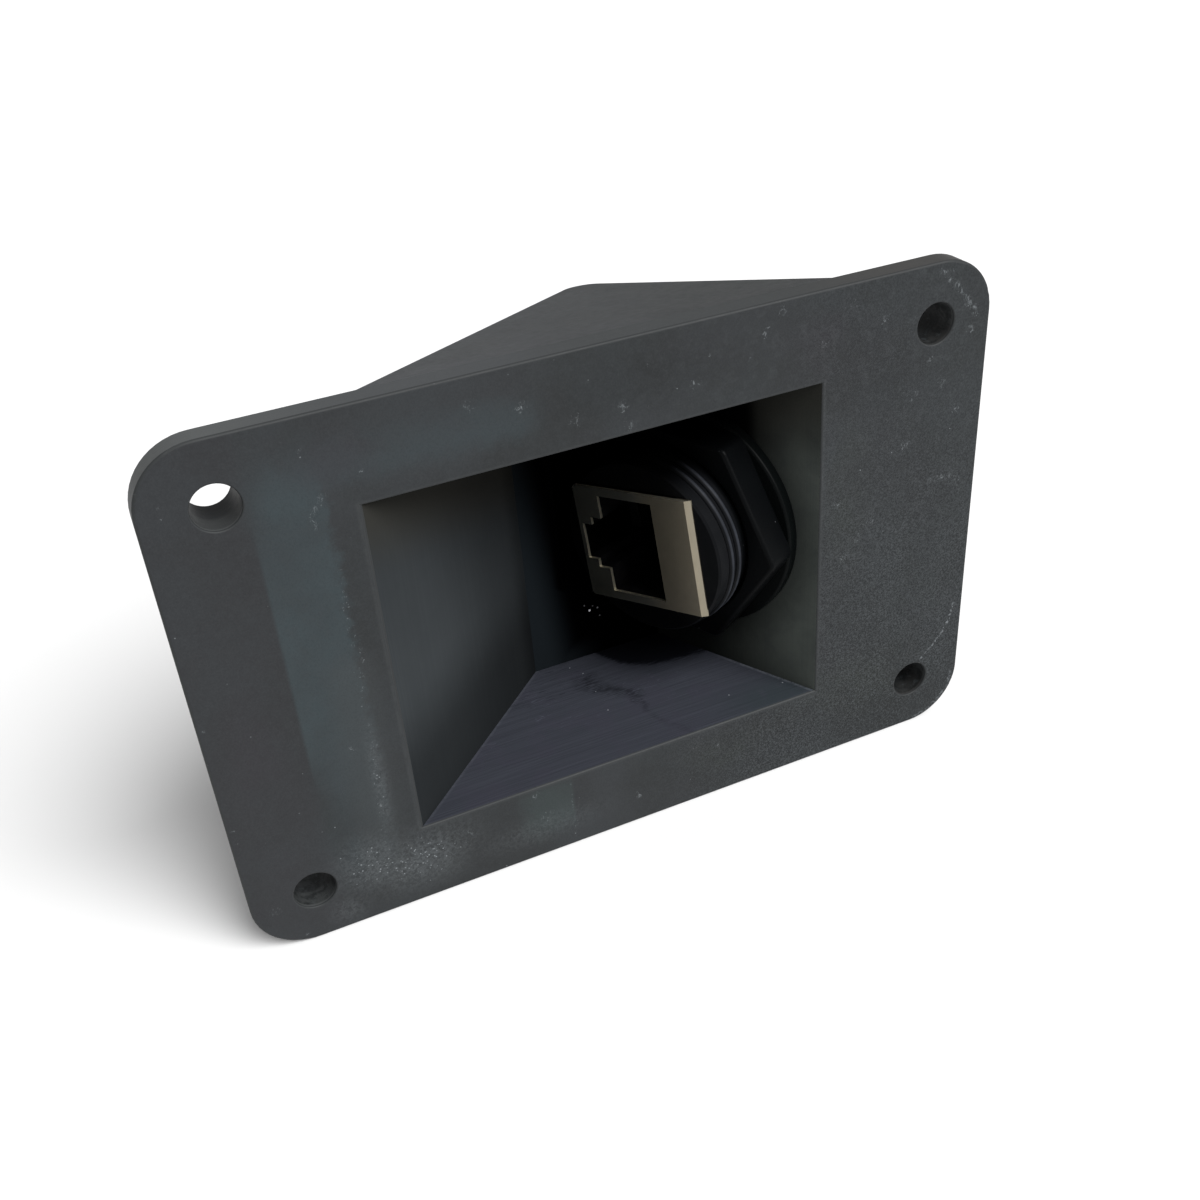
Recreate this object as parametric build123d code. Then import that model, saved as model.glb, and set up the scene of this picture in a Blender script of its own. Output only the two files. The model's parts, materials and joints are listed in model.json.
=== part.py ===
from build123d import *
import math
import os

# Recessed wall port for a sealed network coupler.
# Row frame, millimetres: X to the right seen from the room, Z up, and the
# wall's surface is the plane Y = 0. The flange stands on the room side, at
# negative Y, and the housing goes into the wall, towards positive Y. The
# origin is the centre of the four screw holes, on the flange's back face.

# ---- flange plate -------------------------------------------------------
plate_w = 90.0            # width, X
plate_h = 60.0            # height, Z
plate_t = 2.5             # thickness, Y
corner_r = 6.5            # rounded corners
edge_round = 0.3          # broken front edge
hole_x = 38.0             # screw holes at +-hole_x, +-hole_z
hole_z = 23.3
hole_r = 2.3
hole_round = 0.2          # broken front edge of the screw holes
boss_r = 5.0              # round bosses behind the screw holes
boss_h = 3.0
boss_lead = 0.4

# ---- recess (plan is in XY, floor and ceiling are flat) ------------------
rec_left = -25.6          # left edge of the opening
rec_right = 24.17         # right edge of the opening
rec_half_h = 19.9         # half height of the opening
rec_depth = 20.5          # front face to flat back wall
rec_foot_left = -3.9      # where the left wall meets the back wall
wall_angle = 62.0         # coupler wall, degrees from the plate
rim_round = 0.25          # broken edge around the opening

# ---- outside of the housing ---------------------------------------------
out_left = -26.04         # left side wall at the wall surface
out_right = 29.76         # right side wall at the wall surface
apex_x, apex_y = 12.5, 34.5
apex_r = 2.6              # rounded rear edge
roof_z = 29.4             # half height at the wall surface
roof_slope = 0.21         # fall of roof and underside towards the rear

# ---- coupler placement ---------------------------------------------------
axis_s = 17.14            # along the coupler wall from the opening's edge
axis_z = 0.0              # height of the coupler's axis
roll = 7.5                # turn of the jack about the coupler's axis, degrees
panel_t = 3.2             # wall left under the coupler's flange
bore_r = 10.9             # hole through that wall
seat_r = 13.5             # flat seat for the flange, from outside
relief_r = 14.8           # clearance for the nut in the back wall
relief_w = 11.0

# ---- coupler body (local frame: U, V across, W along the axis) -----------
barrel_r = 10.65
lead_r = 10.65
lead_len = 0.7
front_w = 10.2            # front end of the barrel
gasket_t = 1.0
flange_r = 13.0
flange_t = 2.8
hex_af = 24.0
hex_len = 5.5
rear_w = -23.8            # rear end of the barrel
mid_w = (front_w + rear_w) / 2

# ---- nut and washer -------------------------------------------------------
washer_r = 14.25
washer_t = 1.4
nut_r = 14.56             # across corners, radius
nut_t = 3.9
nut_turn = -10.5
nut_bore_r = 10.8
nut_corner = 1.2          # rounded corners
nut_edge = 0.45           # rounded front edge

# ---- jack module ----------------------------------------------------------
face_left, face_right, face_half = -8.32, 8.12, 7.2
face_t = 0.6
face_corner = 0.5
open_left, open_right, open_half = -4.85, 2.75, 6.15
step1_left, step1_half = -6.4, 3.25
step2_left, step2_half = -7.8, 2.25
shell_left, shell_right, shell_half = -8.15, 7.5, 6.55
shell_corner = 1.6
shell_t = 0.3
fit_gap = 0.05
socket_depth = 12.0
latch_depth = 8.0
chan_left, chan_right, chan_half = 2.7, 5.0, 4.3
chan_front = front_w - 0.8
pitch = 1.02
contact_wd, contact_t = 0.5, 0.3
board_t = 1.2
seal_w0, seal_w1 = -10.6, -9.0
seal_add = 0.8


def box(x0, x1, y0, y1, z0, z1):
    return Pos((x0 + x1) / 2, (y0 + y1) / 2, (z0 + z1) / 2) * Box(x1 - x0, y1 - y0, z1 - z0)


def rbox(x0, x1, y0, y1, z0, z1, rad):
    return fillet(box(x0, x1, y0, y1, z0, z1).edges().filter_by(Axis.Z), rad)


def cyl(r, z0, z1):
    return Pos(0, 0, (z0 + z1) / 2) * Cylinder(r, z1 - z0)


def prism(points, z0, z1):
    return extrude(Plane.XY.offset(z0) * make_face(Polyline(*points, close=True)), z1 - z0)


# the coupler's own frame: W points out of the wall into the recess
a = math.radians(wall_angle)
s0 = Vector(rec_right, -plate_t, axis_z)
along = Vector(-math.cos(a), math.sin(a), 0)
outward = Vector(-math.sin(a), -math.cos(a), 0)
base = s0 + along * axis_s
r = math.radians(roll)
u_dir = along * -math.cos(r) + Vector(0, 0, 1) * math.sin(r)
coupler = Plane(origin=base, x_dir=u_dir, z_dir=outward).location
print("coupler base", base, "U", u_dir, "W", outward)

# ---- housing: flange, wedge and recess are one printed piece --------------
plate = box(-plate_w / 2, plate_w / 2, -plate_t, 0, -plate_h / 2, plate_h / 2)
plate = fillet(plate.edges().filter_by(Axis.Y), corner_r)
plate = fillet(plate.faces().sort_by(Axis.Y)[0].edges(), edge_round)

plan = prism([(out_left, -0.5), (out_left, 0), (apex_x, apex_y), (out_right, 0), (out_right, -0.5)], -32, 32)
rear_edge = plan.edges().filter_by(Axis.Z).sort_by(Axis.Y)[-1]
plan = fillet(rear_edge, apex_r)
reach = 40.0
side = make_face(Polyline((-0.5, -roof_z), (-0.5, roof_z), (0, roof_z), (reach, roof_z - roof_slope * reach),
                          (reach, -roof_z + roof_slope * reach), (0, -roof_z), close=True))
side = Plane(origin=(-45, 0, 0), x_dir=(0, 1, 0), z_dir=(1, 0, 0)) * side
wedge = plan & extrude(side, 90)

deep_x = rec_right - rec_depth / math.tan(a)
recess = prism([(rec_left, -plate_t - 2), (rec_left, -plate_t), (rec_foot_left, rec_depth - plate_t),
                (deep_x, rec_depth - plate_t), (rec_right, -plate_t), (rec_right, -plate_t - 2)],
               -rec_half_h, rec_half_h)
relief = coupler * cyl(relief_r, 0, relief_w)
bore = coupler * cyl(bore_r, -panel_t - 1, 1)
seat = coupler * cyl(seat_r, -30, -panel_t)
housing = plate + wedge - recess - relief - bore - seat
front_face = housing.faces().sort_by(Axis.Y)[0]
housing = fillet(max(front_face.inner_wires(), key=lambda wire: wire.length).edges(), rim_round)
for sx in (-1, 1):
    for sz in (-1, 1):
        boss = Pos(sx * hole_x, boss_h / 2 - 0.5, sz * hole_z) * Rot(X=90) * Cylinder(boss_r, boss_h + 1)
        boss = chamfer(boss.faces().sort_by(Axis.Y)[-1].edges(), boss_lead)
        housing += boss
        housing -= Pos(sx * hole_x, 0, sz * hole_z) * Rot(X=90) * Cylinder(hole_r, 4 * boss_h)
rims = [e for e in housing.edges().filter_by(GeomType.CIRCLE)
        if abs(e.radius - hole_r) < 0.01 and abs(e.center().Y + plate_t) < 0.01]
housing = fillet(rims, hole_round)

# ---- coupler body ----------------------------------------------------------
flange_w0 = -panel_t - gasket_t
flange_w1 = flange_w0 - flange_t
body = cyl(barrel_r, rear_w, front_w - lead_len) + cyl(lead_r, front_w - lead_len, front_w)
body = chamfer(body.faces().sort_by(Axis.Z)[-1].outer_wire().edges(), 0.25)
body += cyl(flange_r, flange_w1, flange_w0)
hex_part = extrude(Plane.XY.offset(flange_w1 - hex_len) * RegularPolygon(hex_af / math.sqrt(3), 6), hex_len)
body += hex_part & cyl(flange_r, flange_w1 - hex_len, flange_w1)
body = chamfer(body.faces().sort_by(Axis.Z)[0].outer_wire().edges(), 0.5)
body -= rbox(shell_left - fit_gap, shell_right + fit_gap, -shell_half - fit_gap, shell_half + fit_gap,
             rear_w - 1, front_w + 1, shell_corner + fit_gap)
seal_ring = rbox(shell_left - seal_add, shell_right + seal_add, -shell_half - seal_add, shell_half + seal_add,
                 seal_w0, seal_w1, shell_corner + seal_add)
body -= seal_ring
module_seal = seal_ring - rbox(shell_left, shell_right, -shell_half, shell_half, seal_w0 - 1, seal_w1 + 1,
                               shell_corner)

# ---- nut, washer, gasket -----------------------------------------------------
nut_w1 = washer_t + nut_t
nut = extrude(Plane.XY.offset(washer_t) * (Rot(Z=nut_turn) * RegularPolygon(nut_r, 6)), nut_t)
nut = fillet(nut.edges().filter_by(Axis.Z), nut_corner)
nut = fillet(nut.faces().sort_by(Axis.Z)[-1].outer_wire().edges(), nut_edge)
nut -= cyl(nut_bore_r, 0, nut_w1 + 1)
nut = chamfer(nut.faces().sort_by(Axis.Z)[-1].inner_wires()[0].edges(), 0.4)

washer = cyl(washer_r, 0, washer_t) - cyl(nut_bore_r, -1, washer_t + 1)
washer = fillet(washer.edges().filter_by(GeomType.CIRCLE).group_by(SortBy.RADIUS)[-1].sort_by(Axis.Z)[-1], 0.35)
gasket = cyl(flange_r, flange_w0, -panel_t) - cyl(nut_bore_r, flange_w0 - 1, -panel_t + 1)

# ---- jack module, front half ---------------------------------------------------
opening = [(open_right, -open_half), (open_right, open_half), (open_left, open_half), (open_left, step1_half),
           (step1_left, step1_half), (step1_left, step2_half), (step2_left, step2_half),
           (step2_left, -step2_half), (step1_left, -step2_half), (step1_left, -step1_half),
           (open_left, -step1_half), (open_left, -open_half)]
face_w1 = front_w + face_t
face = box(face_left, face_right, -face_half, face_half, front_w, face_w1)
fold = face.edges().filter_by(Axis.Y).group_by(Axis.Z)[-1].sort_by(Axis.X)[-1]
face = chamfer(fold, 0.45, 0.62, reference=face.faces().sort_by(Axis.X)[-1])
face = fillet(face.edges().filter_by(Axis.Z).group_by(Axis.X)[0], face_corner)
tube = (rbox(shell_left, shell_right, -shell_half, shell_half, mid_w + fit_gap, front_w, shell_corner)
        - rbox(shell_left + shell_t, shell_right - shell_t, -shell_half + shell_t, shell_half - shell_t,
               mid_w - 1, front_w, shell_corner - shell_t))
shell = face + tube - prism(opening, front_w - 0.01, face_w1 + 1)

board_w0, board_w1 = mid_w - board_t / 2, mid_w + board_t / 2
ins_left, ins_right = shell_left + shell_t + fit_gap, shell_right - shell_t - fit_gap
ins_half = shell_half - shell_t - fit_gap
insert = rbox(ins_left, ins_right, -ins_half, ins_half, board_w1, front_w, shell_corner - shell_t)
insert -= box(open_left, open_right, -open_half, open_half, front_w - socket_depth, front_w + 1)
insert -= box(step1_left, open_left + 1, -step1_half, step1_half, front_w - socket_depth, front_w + 1)
insert -= box(step2_left - 1, step1_left + 1, -step2_half, step2_half, front_w - latch_depth, front_w + 1)
insert -= box(chan_left, chan_right, -chan_half, chan_half, board_w1 - 1, chan_front)
insert -= box(open_right - 0.5, chan_right, -chan_half, chan_half, front_w - 11.5, chan_front)


def strip(points, t, wd):
    out = None
    for (x0, z0), (x1, z1) in zip(points, points[1:]):
        length = math.hypot(x1 - x0, z1 - z0)
        turn = math.degrees(math.atan2(x1 - x0, z1 - z0))
        seg = Pos((x0 + x1) / 2, 0, (z0 + z1) / 2) * Rot(Y=turn) * Box(t, wd, length)
        out = seg if out is None else out + seg
    for x0, z0 in points[1:]:
        out += Pos(x0, 0, z0) * Rot(X=90) * Cylinder(t / 2, wd)
    return out


contact = strip([(4.3, board_w1), (4.3, front_w - 2.3), (3.95, front_w - 1.65), (3.35, front_w - 1.7),
                 (1.2, front_w - 7.4)], contact_t, contact_wd)
board = rbox(ins_left + 0.1, ins_right - 0.1, -ins_half + 0.1, ins_half - 0.1, board_w0, board_w1,
             shell_corner - shell_t)

# the rear half is the front half turned over about U
flip = Pos(0, 0, mid_w) * Rot(X=180) * Pos(0, 0, -mid_w)

nodes = {
    "recess_housing": housing,
    "coupler_body": coupler * body,
    "hex_lock_nut": coupler * nut,
    "nut_washer": coupler * washer,
    "flange_gasket": coupler * gasket,
    "module_seal": coupler * module_seal,
    "front_jack_shell": coupler * shell,
    "rear_jack_shell": coupler * flip * shell,
    "front_jack_insert": coupler * insert,
    "rear_jack_insert": coupler * flip * insert,
    "contact_board": coupler * board,
}
for i in range(8):
    v = (i - 3.5) * pitch
    nodes["front_contact_%d" % (i + 1)] = coupler * Pos(0, v, 0) * contact
    nodes["rear_contact_%d" % (i + 1)] = coupler * flip * Pos(0, v, 0) * contact

os.makedirs("parts", exist_ok=True)
for name, shape in nodes.items():
    solids = shape.solids()
    print(name, len(solids), round(sum(q.volume for q in solids), 2))
    export_step(shape if len(solids) != 1 else solids[0], "parts/%s.step" % name)
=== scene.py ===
import bpy
import bmesh
import json
import math
from mathutils import Matrix, Vector


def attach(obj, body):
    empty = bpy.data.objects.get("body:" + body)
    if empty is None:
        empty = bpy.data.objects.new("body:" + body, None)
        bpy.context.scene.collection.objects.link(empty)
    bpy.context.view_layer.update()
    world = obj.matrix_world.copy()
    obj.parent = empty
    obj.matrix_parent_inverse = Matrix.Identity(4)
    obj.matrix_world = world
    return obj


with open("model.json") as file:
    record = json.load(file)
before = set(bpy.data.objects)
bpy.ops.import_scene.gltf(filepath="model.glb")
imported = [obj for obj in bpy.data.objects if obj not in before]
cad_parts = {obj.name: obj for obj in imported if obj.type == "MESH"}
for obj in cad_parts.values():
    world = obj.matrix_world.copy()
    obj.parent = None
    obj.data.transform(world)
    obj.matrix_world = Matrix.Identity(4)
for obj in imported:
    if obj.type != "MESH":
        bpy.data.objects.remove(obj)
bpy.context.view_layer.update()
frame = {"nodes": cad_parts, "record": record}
nodes = frame["nodes"]
scene = bpy.context.scene


# ---------------------------------------------------------------- tones, 0..255 display values
OUT_SPEC, IN_SPEC, BLACK_SPEC = 0.22, 0.0, 0.05
FRONT_A, FRONT_B = (33, 35, 36), (38, 40, 42)
FRONT_L, FRONT_R, FRONT_T = (36, 37, 39), (36, 39, 40), (27, 29, 30)
TEAL, GREEN, OLIVE, PLUM = (43, 51, 54), (42, 49, 49), (40, 44, 41), (41, 39, 43)
STIP_CREST_HIGHLIGHT, STIP_PIT_SHADE = (55, 58, 60), (14, 16, 18)
SCUFF, SPECK, RIM_HIGHLIGHT = 0.48, 0.48, (52, 54, 55)
SIDE_A, SIDE_B, SIDE_HI, EDGE_COL = (43, 45, 47), (48, 50, 53), (56, 58, 60), (73, 75, 75)
WALL_L, WALL_R, WALL_HI, WALL_LO, WALL_CEILING_SHADE = (48, 51, 53), (68, 72, 69), (57, 60, 62), (45, 48, 50), (53, 52, 48)
UP_K, FOOT_K, DEEP_K, BACK_LOW = 0.80, 0.48, 0.72, (23, 27, 30)
FLOOR_LO, FLOOR_HI, FLOOR_V, FLOOR_G = (43, 45, 51), (53, 55, 62), (50, 49, 58), (38, 47, 48)
FLOOR_SM = (14, 15, 18)
BARREL_COL, CREST_HIGHLIGHT, NUT_COL, RING_COL = (14, 15, 17), (42, 44, 49), (5, 6, 7), (6, 8, 8)
NI_A, NI_B, NI_C = (128, 121, 106), (150, 142, 125), (114, 108, 95)
NI_D, NI_E, NI_FOLD, NI_CUT, NI_IN = (102, 101, 94), (106, 105, 97), (146, 139, 123), (240, 234, 214), (22, 22, 20)
WORLD, KEY, KEY_ANGLE, FILL = 0.46, 4.5, 36, 0.8


# ---------------------------------------------------------------- helpers
def lin(r, g, b, k=1.0):
    """A colour given as 0..255 display values, as linear light."""
    out = []
    for c in (r, g, b):
        c /= 255.0
        out.append((c / 12.92 if c <= 0.04045 else ((c + 0.055) / 1.055) ** 2.4) * k)
    return (*out, 1.0)


class Mat:
    """A small builder for node materials. Positions are in millimetres in the row frame."""

    def __init__(self, name, rough=0.5, metallic=0.0, ior=1.46, coat=0.0, sheen=0.0, spec=0.5):
        self.m = bpy.data.materials.new(name)
        self.m.use_nodes = True
        self.t = self.m.node_tree
        self.t.nodes.clear()
        self.out = self.t.nodes.new("ShaderNodeOutputMaterial")
        self.b = self.t.nodes.new("ShaderNodeBsdfPrincipled")
        self.t.links.new(self.b.outputs[0], self.out.inputs["Surface"])
        self.b.inputs["Roughness"].default_value = rough
        self.b.inputs["Metallic"].default_value = metallic
        self.b.inputs["IOR"].default_value = ior
        self.b.inputs["Coat Weight"].default_value = coat
        self.b.inputs["Sheen Weight"].default_value = sheen
        self.b.inputs["Specular IOR Level"].default_value = spec
        tc = self.t.nodes.new("ShaderNodeTexCoord")
        self.p = self.vec("MULTIPLY", tc.outputs["Object"], (1000, 1000, 1000))
        s = self.t.nodes.new("ShaderNodeSeparateXYZ")
        self.t.links.new(self.p, s.inputs[0])
        self.x, self.y, self.z = s.outputs
        g = self.t.nodes.new("ShaderNodeNewGeometry")
        n = self.t.nodes.new("ShaderNodeSeparateXYZ")
        self.t.links.new(g.outputs["True Normal"], n.inputs[0])
        self.nx, self.ny, self.nz = n.outputs

    def put(self, socket, v):
        if isinstance(v, bpy.types.NodeSocket):
            self.t.links.new(v, socket)
        else:
            socket.default_value = v

    def f(self, op, a, b=None, c=None, clamp=False):
        n = self.t.nodes.new("ShaderNodeMath")
        n.operation = op
        n.use_clamp = clamp
        for i, v in enumerate((a, b, c)):
            if v is not None:
                self.put(n.inputs[i], v)
        return n.outputs[0]

    def vec(self, op, a, b=None):
        n = self.t.nodes.new("ShaderNodeVectorMath")
        n.operation = op
        self.put(n.inputs[0], a)
        if b is not None:
            self.put(n.inputs[1], b)
        return n.outputs["Value"] if op in ("LENGTH", "DOT_PRODUCT", "DISTANCE") else n.outputs["Vector"]

    def ramp(self, v, a, b, lo=0.0, hi=1.0, smooth=True):
        """lo where v is a, hi where v is b, smooth between and held outside."""
        n = self.t.nodes.new("ShaderNodeMapRange")
        n.interpolation_type = "SMOOTHSTEP" if smooth else "LINEAR"
        n.clamp = True
        self.put(n.inputs["Value"], v)
        n.inputs["From Min"].default_value = a
        n.inputs["From Max"].default_value = b
        self.put(n.inputs["To Min"], lo)
        self.put(n.inputs["To Max"], hi)
        return n.outputs["Result"]

    def mix(self, fac, a, b, blend="MIX"):
        n = self.t.nodes.new("ShaderNodeMix")
        n.data_type = "RGBA"
        n.blend_type = blend
        n.clamp_factor = True
        self.put(n.inputs[0], fac)
        self.put(n.inputs[6], a)
        self.put(n.inputs[7], b)
        return n.outputs[2]

    def lerp(self, fac, a, b):
        n = self.t.nodes.new("ShaderNodeMix")
        n.data_type = "FLOAT"
        n.clamp_factor = True
        self.put(n.inputs[0], fac)
        self.put(n.inputs[2], a)
        self.put(n.inputs[3], b)
        return n.outputs[0]

    def scaled(self, k, shift=(0, 0, 0), p=None):
        """Coordinates stretched by k along each axis, in cycles per millimetre."""
        v = self.vec("MULTIPLY", p or self.p, k if hasattr(k, "__len__") else (k, k, k))
        return self.vec("ADD", v, shift) if any(shift) else v

    def noise(self, k, detail=2.0, rough=0.5, dist=0.0, shift=(0, 0, 0), p=None):
        n = self.t.nodes.new("ShaderNodeTexNoise")
        n.inputs["Scale"].default_value = 1.0
        n.inputs["Detail"].default_value = detail
        n.inputs["Roughness"].default_value = rough
        n.inputs["Distortion"].default_value = dist
        self.put(n.inputs["Vector"], self.scaled(k, shift, p))
        return n.outputs["Fac"]

    def cells(self, k, feature="F1", shift=(0, 0, 0), p=None, rand=1.0, smooth=None):
        n = self.t.nodes.new("ShaderNodeTexVoronoi")
        n.feature = feature
        n.inputs["Scale"].default_value = 1.0
        n.inputs["Randomness"].default_value = rand
        if smooth is not None:
            n.inputs["Smoothness"].default_value = smooth
        self.put(n.inputs["Vector"], self.scaled(k, shift, p))
        return n.outputs["Distance"]

    def spot(self, x, z, a, b, turn=0.0, soft=0.5, p=None):
        """1 inside an ellipse on the front face, falling to 0 at its edge. a, b are its half axes, turn is in degrees."""
        m = self.t.nodes.new("ShaderNodeMapping")
        m.vector_type = "TEXTURE"
        m.inputs["Location"].default_value = (x, -2.5, z)
        m.inputs["Rotation"].default_value = (0, math.radians(-turn), 0)
        m.inputs["Scale"].default_value = (a, 1000, b)
        self.put(m.inputs["Vector"], p or self.p)
        return self.ramp(self.vec("LENGTH", m.outputs[0]), 1.0, 1.0 - soft)

    def trail(self, pts, a, b):
        """1 along a run of points (x, z) on the front face, 0 further than a from it."""
        best = None
        for (ax, az), (bx, bz) in zip(pts, pts[1:]):
            lx, lz = bx - ax, bz - az
            dx, dz = self.f("SUBTRACT", self.x, ax), self.f("SUBTRACT", self.z, az)
            t = self.f("MULTIPLY", self.add(self.times(dx, lx), self.times(dz, lz)), 1.0 / (lx * lx + lz * lz), clamp=True)
            ex, ez = self.f("MULTIPLY_ADD", t, -lx, dx), self.f("MULTIPLY_ADD", t, -lz, dz)
            d = self.add(self.times(ex, ex), self.times(ez, ez))
            best = d if best is None else self.f("MINIMUM", best, d)
        return self.ramp(self.f("SQRT", best), a, b)

    def near(self, pts, a, b):
        """1 at a scatter of points (x, z) on the front face, 0 further than a from them."""
        best = None
        for x, z in pts:
            d = self.vec("DISTANCE", self.p, (x, -2.5, z))
            best = d if best is None else self.f("MINIMUM", best, d)
        return self.ramp(best, a, b)

    def band(self, v, a0, a1, b1, b0):
        """1 between a1 and b1, 0 below a0 and above b0."""
        return self.f("MULTIPLY", self.ramp(v, a0, a1), self.ramp(v, b0, b1))

    def most(self, *v):
        r = v[0]
        for w in v[1:]:
            r = self.f("MAXIMUM", r, w)
        return r

    def times(self, *v):
        r = v[0]
        for w in v[1:]:
            r = self.f("MULTIPLY", r, w)
        return r

    def add(self, *v):
        r = v[0]
        for w in v[1:]:
            r = self.f("ADD", r, w)
        return r

    def bump(self, height_mm, strength=1.0, after=None):
        """Height is in millimetres."""
        n = self.t.nodes.new("ShaderNodeBump")
        n.inputs["Strength"].default_value = strength
        n.inputs["Distance"].default_value = 0.001
        self.put(n.inputs["Height"], height_mm)
        if after is not None:
            self.put(n.inputs["Normal"], after)
        return n.outputs[0]

    def finish(self, colour, rough=None, normal=None):
        self.put(self.b.inputs["Base Color"], colour)
        if rough is not None:
            self.put(self.b.inputs["Roughness"], rough)
        if normal is not None:
            self.put(self.b.inputs["Normal"], normal)
        return self.m


# ---------------------------------------------------------------- the coupler's own frame
BASE = Vector((0.0161233, 0.0126337, 0.0))
U = Vector((0.465455, -0.875394, 0.130526)).normalized()
W = Vector((-0.882948, -0.469472, 0.0)).normalized()
V = W.cross(U).normalized()


def local(u, v, w):
    """Millimetres in the coupler's frame, as a point in metres."""
    return BASE + U * (u / 1000) + V * (v / 1000) + W * (w / 1000)


def along(g, axis):
    """A point's place along one axis of the coupler's frame, in millimetres."""
    d = g.vec("SUBTRACT", g.p, tuple(c * 1000 for c in BASE))
    return g.vec("DOT_PRODUCT", d, tuple(axis))


# ---------------------------------------------------------------- materials
def layers(g):
    """Print layers stacked along Y: the step itself, and two irregular line patterns."""
    wob = g.f("MULTIPLY_ADD", g.noise((0.09, 0.4, 0.09), 2, 0.5, 0, (4, 4, 4)), 0.4, g.y)
    step = g.f("PINGPONG", g.f("MULTIPLY", wob, 1.0 / 0.24), 0.5)
    lines = g.noise((0.035, 4.6, 0.035), 2, 0.6, 0.0, (2, 2, 2))
    lines2 = g.noise((0.16, 9.0, 0.16), 3, 0.7, 0.0, (8, 1, 3))
    return step, lines, lines2


def printed_front():
    """The flange's front face, printed against the bed."""
    g = Mat("printed_charcoal_front", rough=0.6, spec=OUT_SPEC)
    cloud = g.noise(0.05, 3, 0.55, 0.6)
    cloud2 = g.noise(0.22, 4, 0.6, 0.4, (7, 3, 1))
    tint = g.noise(0.10, 2, 0.5, 0.4, (1, 8, 3))
    fine = g.noise(1.3, 2, 0.6, 0.0, (3, 1, 9))
    ragged = g.noise(0.75, 4, 0.7, 0, (2, 9, 4))

    # a charcoal ground, a little darker at the left and over the opening, lighter at the lower right
    base = g.mix(g.ramp(cloud, 0.35, 0.65), lin(*FRONT_A), lin(*FRONT_B))
    base = g.mix(g.times(g.ramp(g.x, -34.9, -35.9), 0.8), base, lin(*FRONT_L))
    base = g.mix(g.times(g.ramp(g.add(g.x, g.times(g.z, -0.6)), 20, 50, smooth=False), 0.95), base, lin(*FRONT_R))
    base = g.mix(g.times(g.most(g.spot(3, 25.5, 13, 5, 0, 0.9), g.times(g.spot(32, 20, 7, 9, 0, 0.9), 0.5)), 0.75), base, lin(*FRONT_T))
    base = g.mix(g.times(g.most(g.spot(36, -25, 17, 12, 0, 0.9), g.times(g.spot(22, -25, 20, 6, 0, 0.9), 0.6)), 0.85), base, lin(28, 30, 31))
    # a teal band, ragged on its inner side, that fades out at the top and the foot
    edge = g.f("MULTIPLY_ADD", ragged, 3.2, -1.6)
    xe = g.f("ADD", g.x, edge)
    ze = g.f("MULTIPLY_ADD", cloud2, 8.0, g.z)
    sharp = g.ramp(g.f("ABSOLUTE", g.f("SUBTRACT", g.z, 5.0)), 17.0, 10.0)
    start = g.lerp(sharp, g.ramp(g.f("MULTIPLY_ADD", cloud2, 3.0, g.x), -35.5, -31.0), g.ramp(g.x, -35.7, -35.2))
    band = g.times(start, g.ramp(xe, -27.9, -29.3), g.ramp(ze, 32.5, 26.5), g.ramp(ze, -18.0, 8.0, 0.40, 1.0), g.ramp(g.z, -27, -19))
    top = g.times(start, g.ramp(xe, -5.8, -9.9), g.ramp(g.f("MULTIPLY_ADD", edge, 0.9, g.z), 21.2, 24.2), g.ramp(ze, 32.5, 27.5), 0.7)
    low = g.times(g.ramp(g.f("MULTIPLY_ADD", edge, 0.8, g.x), -15.4, -12.0), g.ramp(g.x, -7.6, -8.1),
                  g.ramp(g.f("MULTIPLY_ADD", edge, 0.9, g.z), -28.6, -25.0), g.ramp(g.f("MULTIPLY_ADD", edge, 0.5, g.z), -19.6, -21.2), 0.8)
    base = g.mix(g.times(g.most(band, top), g.ramp(cloud2, 0.25, 0.6, 0.75, 1.0)), base, lin(*TEAL))
    base = g.mix(g.times(g.trail(((-29.5, 2), (-30, -12), (-30, -24), (-24, -26)), 4.0, 0.5), 0.45), base, lin(50, 53, 54))
    base = g.mix(low, base, lin(*GREEN))
    cast = g.most(g.spot(27.5, 5.5, 4.5, 13, 0, 0.9), g.spot(30, -21, 14, 7, 0, 0.9), g.spot(12, -24, 8, 4, 0, 0.9))
    base = g.mix(g.times(cast, g.ramp(cloud2, 0.3, 0.6, 0.15, 0.5)), base, lin(*OLIVE))
    plum = g.most(g.spot(-40, -8, 5, 18, 0, 0.9), g.spot(26, 24, 10, 5, 0, 0.9), g.spot(-27, 25, 6, 4, 0, 0.9))
    base = g.mix(g.times(plum, g.ramp(cloud, 0.35, 0.6, 0.1, 0.5)), base, lin(*PLUM))
    base = g.mix(g.times(g.ramp(tint, 0.45, 0.65), 0.20), base, lin(42, 46, 49))
    base = g.mix(g.times(g.ramp(tint, 0.50, 0.30), 0.20), base, lin(32, 32, 34))
    base = g.mix(g.ramp(fine, 0.35, 0.65, 0.0, 0.16), base, lin(46, 49, 51))

    # leather-like stipple of the print bed, strongest at the lower right: a bump, with painted highlight on its crests
    # and painted shade in its pits
    grain = g.noise(4.9, 1, 0.5, 0.5, (5, 5, 5))
    right = g.most(g.times(g.ramp(g.x, 18, 27), g.ramp(g.z, 20, -8, 0.30, 0.9)), g.times(g.ramp(g.x, -2, 22), g.ramp(g.z, -17, -22)),
                   g.times(g.ramp(g.x, 20, 32), g.ramp(g.z, 4, -14)))
    right = g.add(g.times(right, 0.86), 0.14)
    patch = g.ramp(cloud2, 0.35, 0.65, 0.55, 1.0)
    # painted highlight on the stipple's crests
    base = g.mix(g.times(right, patch, g.ramp(grain, 0.50, 0.66), 0.85), base, lin(*STIP_CREST_HIGHLIGHT))
    # painted shade in the stipple's pits
    base = g.mix(g.times(right, g.ramp(grain, 0.48, 0.34), 0.70), base, lin(*STIP_PIT_SHADE))

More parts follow.
